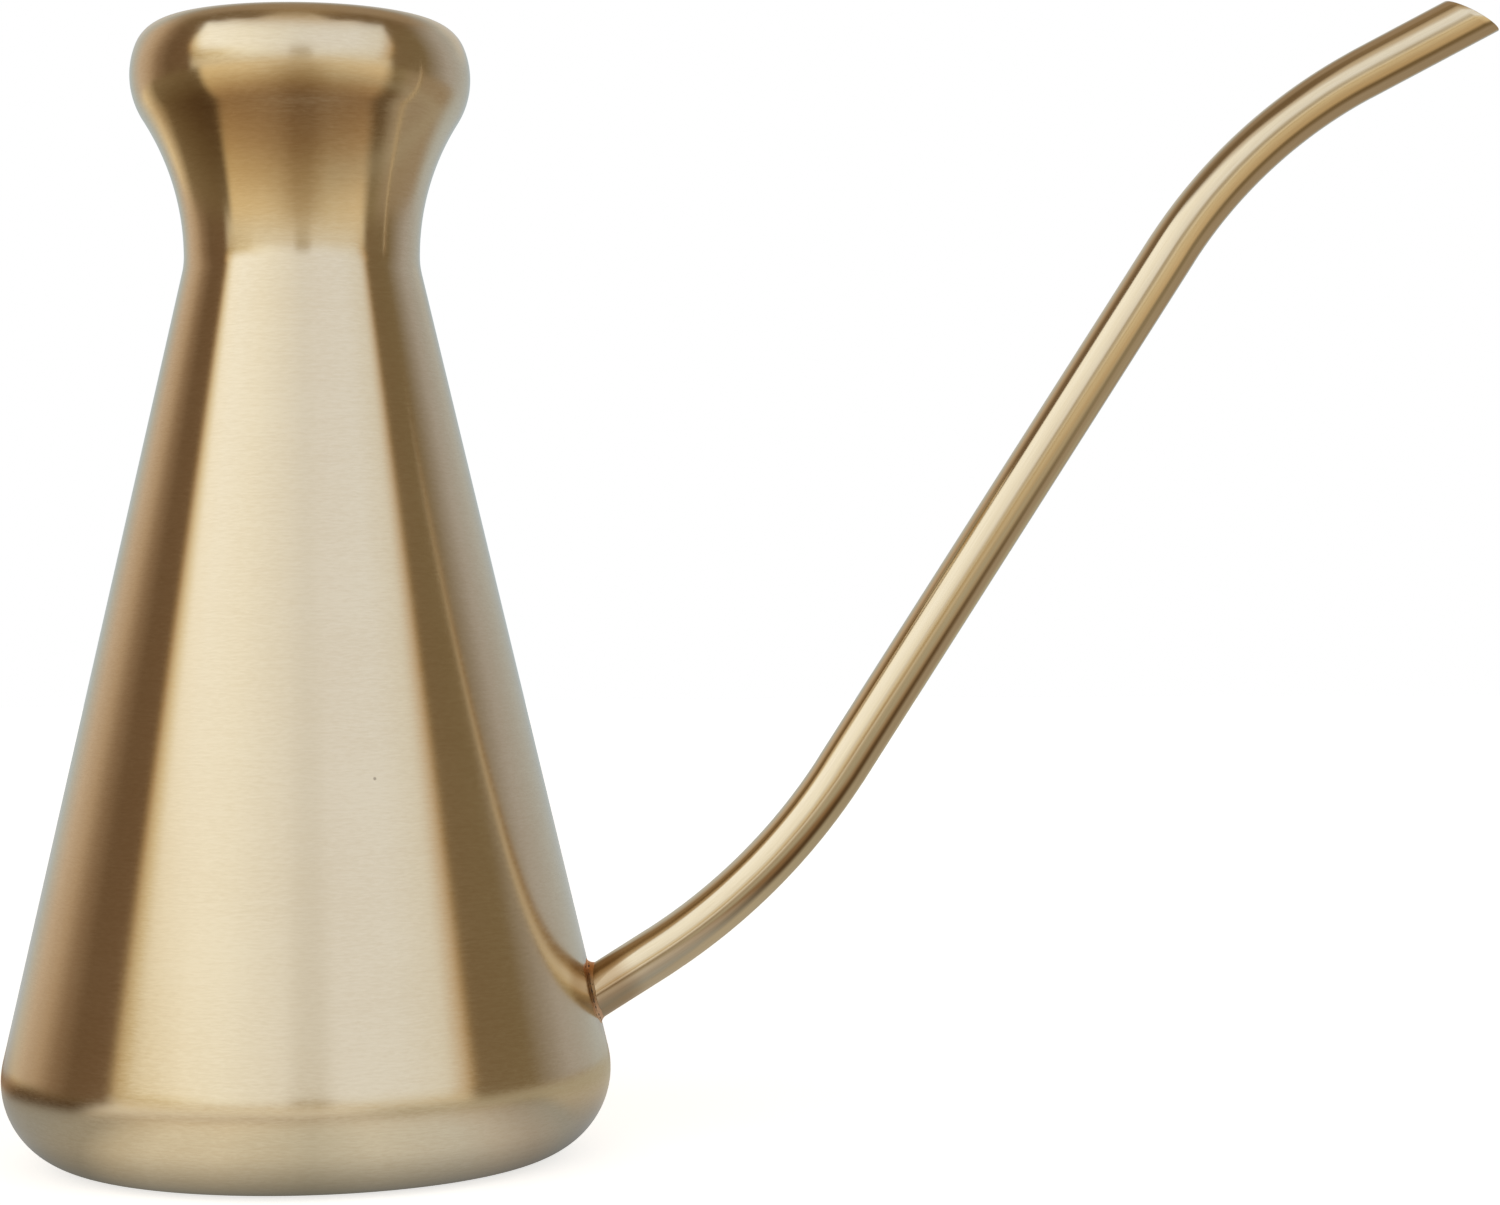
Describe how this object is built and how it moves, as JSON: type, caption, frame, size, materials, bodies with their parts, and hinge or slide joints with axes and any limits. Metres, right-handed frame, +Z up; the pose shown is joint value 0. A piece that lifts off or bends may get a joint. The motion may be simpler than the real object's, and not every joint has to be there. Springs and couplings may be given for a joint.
{
  "type": "pouring can",
  "caption": "Conical metal pouring can with a narrow waist, a flared open neck with a thick rolled lip, and a long thin bent spout with a slant-cut tip.",
  "frame": {"origin": "centre of the foot ring, on the can's axis, in the plane that the can stands on", "axes": "+Z up along the can's axis, +X towards the spout's tip, +Y across the spout"},
  "size_m": [0.2923, 0.1174, 0.2232],
  "materials": {
    "brushed_brass": "satin, finely brushed round the can",
    "dressed_weld": "satin, ground flush and brushed",
    "base_brass": "satin, spun, slightly worn",
    "base_weld": "rippled weld bead",
    "tube_brass": "smooth satin, polished along the tube",
    "braze": "copper-coloured braze with small dark pits"
  },
  "bodies": {
    "root": {"body_cone": "brushed_brass", "neck_funnel": "brushed_brass", "waist_weld": "dressed_weld", "base_plate": "base_brass", "base_weld": "base_weld", "spout_tube": "tube_brass", "spout_braze": "braze"}
  },
  "joints": []
}
